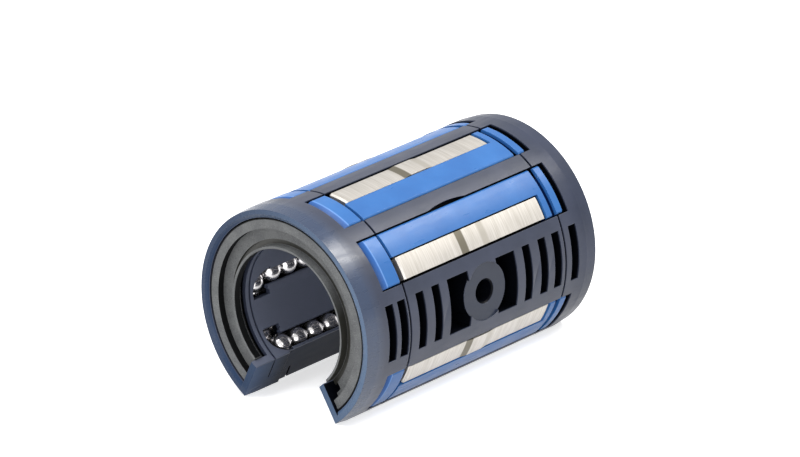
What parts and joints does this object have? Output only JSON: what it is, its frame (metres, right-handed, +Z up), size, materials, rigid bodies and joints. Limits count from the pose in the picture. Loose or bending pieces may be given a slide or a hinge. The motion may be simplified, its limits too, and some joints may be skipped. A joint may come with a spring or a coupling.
{
  "type": "open linear ball bearing",
  "caption": "Open linear ball bearing: a split sleeve with closed ball circuits, tilting raceway plates, end rings and lip seals, for a round shaft on a support rail.",
  "frame": {"origin": "on the shaft axis at mid-length", "axes": "+Y along the shaft axis from the front face to the rear face, +Z up, away from the opening, +X towards the side with the fixing hole"},
  "size_m": [0.04, 0.058, 0.0367],
  "materials": {
    "navy_plastic": "moulded navy plastic, satin",
    "blue_plastic": "moulded bright blue plastic, satin gloss",
    "ground_steel": "hardened steel, ground across its length",
    "seal_rubber": "moulded grey rubber, fine grained",
    "ball_steel": "polished bearing steel"
  },
  "bodies": {
    "bearing": {"ball_cage": "navy_plastic", "front_ring": "navy_plastic", "rear_ring": "navy_plastic", "front_seal": "seal_rubber", "rear_seal": "seal_rubber", "return_cover_1": "blue_plastic", "front_cap_1": "blue_plastic", "rear_cap_1": "blue_plastic", "ball_circuit_1": "ball_steel", "return_cover_2": "blue_plastic", "front_cap_2": "blue_plastic", "rear_cap_2": "blue_plastic", "ball_circuit_2": "ball_steel", "return_cover_3": "blue_plastic", "front_cap_3": "blue_plastic", "rear_cap_3": "blue_plastic", "ball_circuit_3": "ball_steel", "return_cover_4": "blue_plastic", "front_cap_4": "blue_plastic", "rear_cap_4": "blue_plastic", "ball_circuit_4": "ball_steel", "return_cover_5": "blue_plastic", "front_cap_5": "blue_plastic", "rear_cap_5": "blue_plastic", "ball_circuit_5": "ball_steel", "return_cover_6": "blue_plastic", "front_cap_6": "blue_plastic", "rear_cap_6": "blue_plastic", "ball_circuit_6": "ball_steel"},
    "plate_1": {"raceway_plate_1": "ground_steel"},
    "plate_2": {"raceway_plate_2": "ground_steel"},
    "plate_3": {"raceway_plate_3": "ground_steel"},
    "plate_4": {"raceway_plate_4": "ground_steel"},
    "plate_5": {"raceway_plate_5": "ground_steel"},
    "plate_6": {"raceway_plate_6": "ground_steel"}
  },
  "joints": [
    {"name": "plate_1_tilt", "type": "hinge", "parent": "bearing", "child": "plate_1", "pos_m": [0.01721, 0.00047, -0.01016], "axis": [0.5083, 0, 0.8612], "range_deg": [-0.5, 0.5]},
    {"name": "plate_2_tilt", "type": "hinge", "parent": "bearing", "child": "plate_2", "pos_m": [0.01748, 0.00047, 0.00969], "axis": [-0.4848, 0, 0.8746], "range_deg": [-0.5, 0.5]},
    {"name": "plate_3_tilt", "type": "hinge", "parent": "bearing", "child": "plate_3", "pos_m": [0.00357, 0.00047, 0.01966], "axis": [-0.9839, 0, 0.1788], "range_deg": [-0.5, 0.5]},
    {"name": "plate_4_tilt", "type": "hinge", "parent": "bearing", "child": "plate_4", "pos_m": [-0.00926, 0.00047, 0.01771], "axis": [-0.8862, 0, -0.4633], "range_deg": [-0.5, 0.5]},
    {"name": "plate_5_tilt", "type": "hinge", "parent": "bearing", "child": "plate_5", "pos_m": [-0.01969, 0.00047, 0.00337], "axis": [-0.1685, 0, -0.9857], "range_deg": [-0.5, 0.5]},
    {"name": "plate_6_tilt", "type": "hinge", "parent": "bearing", "child": "plate_6", "pos_m": [-0.01453, 0.00047, -0.01372], "axis": [0.6865, 0, -0.7271], "range_deg": [-0.5, 0.5]}
  ]
}
